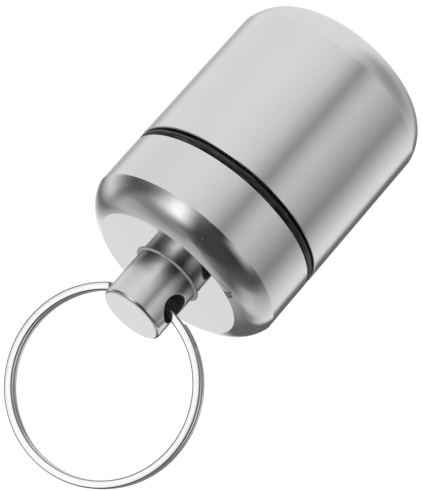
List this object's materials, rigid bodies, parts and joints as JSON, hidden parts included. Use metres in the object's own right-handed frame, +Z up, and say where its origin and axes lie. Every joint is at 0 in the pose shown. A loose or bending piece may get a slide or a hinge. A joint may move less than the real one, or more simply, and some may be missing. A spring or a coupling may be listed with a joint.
{
  "type": "earplug case keychain",
  "caption": "Round-ended turned aluminium capsule with a screw cap, a rubber ring in the seam and a split key ring through the cap's cross-drilled knob.",
  "frame": {"origin": "centre of the flat base that the capsule stands on", "axes": "+Z up the capsule's axis to the knob, X along the knob's cross hole, and the key ring swung back towards -Y"},
  "size_m": [0.027, 0.027, 0.0622],
  "materials": {
    "canister_aluminium": "turned and satin polished",
    "cap_aluminium": "turned, the shoulder, face and knob bright polished",
    "black_rubber": "smooth moulded",
    "ring_steel": "bright nickel plated spring steel"
  },
  "bodies": {
    "canister": {"canister": "canister_aluminium"},
    "seal": {"o_ring": "black_rubber"},
    "cap": {"screw_cap": "cap_aluminium"},
    "key_ring": {"split_ring": "ring_steel"}
  },
  "joints": [
    {"name": "cap_lift", "type": "slide", "parent": "canister", "child": "seal", "axis": [0, 0, 1], "range_m": [0, 0.00401]},
    {"name": "cap_turn", "type": "hinge", "parent": "seal", "child": "cap", "pos_m": [0, 0, 0.0262], "axis": [0, 0, 1], "range_deg": [0, 1440]},
    {"name": "ring_swing", "type": "hinge", "parent": "cap", "child": "key_ring", "pos_m": [0, 0, 0.04013], "axis": [1, 0, 0], "range_deg": [-122.8, 66.2]}
  ],
  "couplings": [
    {"joint": "cap_lift", "follows": "cap_turn", "m_per_rad": 0.00015915}
  ]
}
